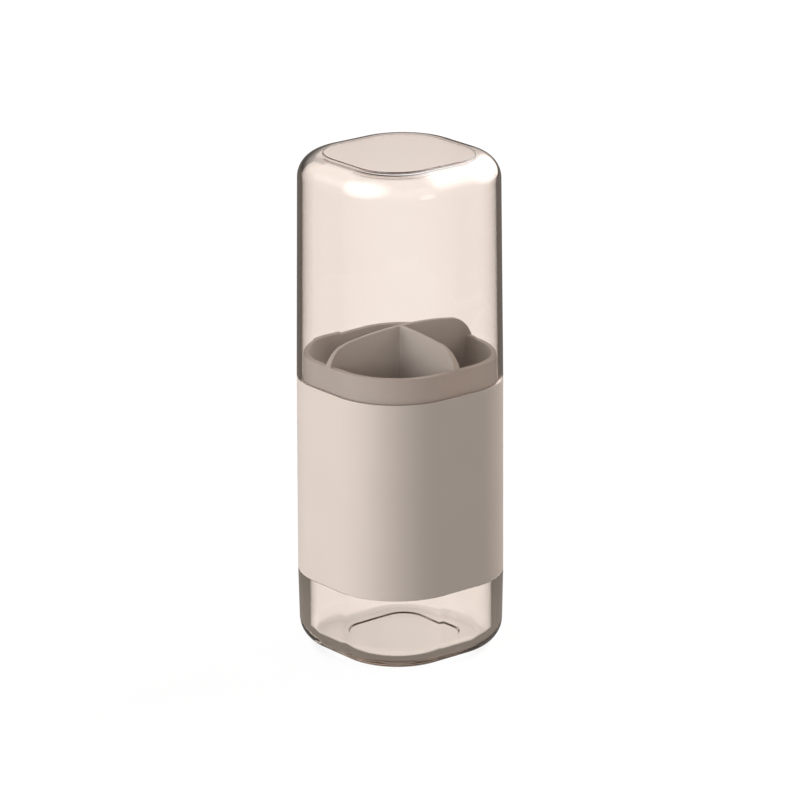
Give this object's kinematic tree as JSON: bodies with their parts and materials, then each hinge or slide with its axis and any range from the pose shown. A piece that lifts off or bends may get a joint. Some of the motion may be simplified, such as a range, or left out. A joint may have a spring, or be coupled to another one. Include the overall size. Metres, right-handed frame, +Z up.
{
  "type": "toothbrush holder",
  "caption": "Covered toothbrush holder: a clear cup with a thick foot, an opaque sleeve round it, a divided insert in its mouth and a clear lift-off cap.",
  "frame": {"origin": "middle of the cup's underside, on the surface that the holder stands on", "axes": "+Z up, +X towards the short dividing wall, Y along the long dividing wall; the flat sides look along X and Y"},
  "size_m": [0.0744, 0.0744, 0.2],
  "materials": {
    "clear_cup": "clear polished plastic with a light warm tint",
    "sleeve": "opaque warm beige, fine satin",
    "insert": "opaque warm beige, fine satin",
    "clear_cap": "clear polished plastic with a light warm tint"
  },
  "bodies": {
    "base": {"base_cup": "clear_cup", "sleeve": "sleeve"},
    "insert": {"divider_insert": "insert"},
    "cap": {"cap": "clear_cap"}
  },
  "joints": [
    {"name": "cap_lift", "type": "slide", "parent": "base", "child": "cap", "axis": [0, 0, 1], "range_m": [0, 0.1]},
    {"name": "insert_lift", "type": "slide", "parent": "base", "child": "insert", "axis": [0, 0, 1], "range_m": [0, 0.028]}
  ]
}
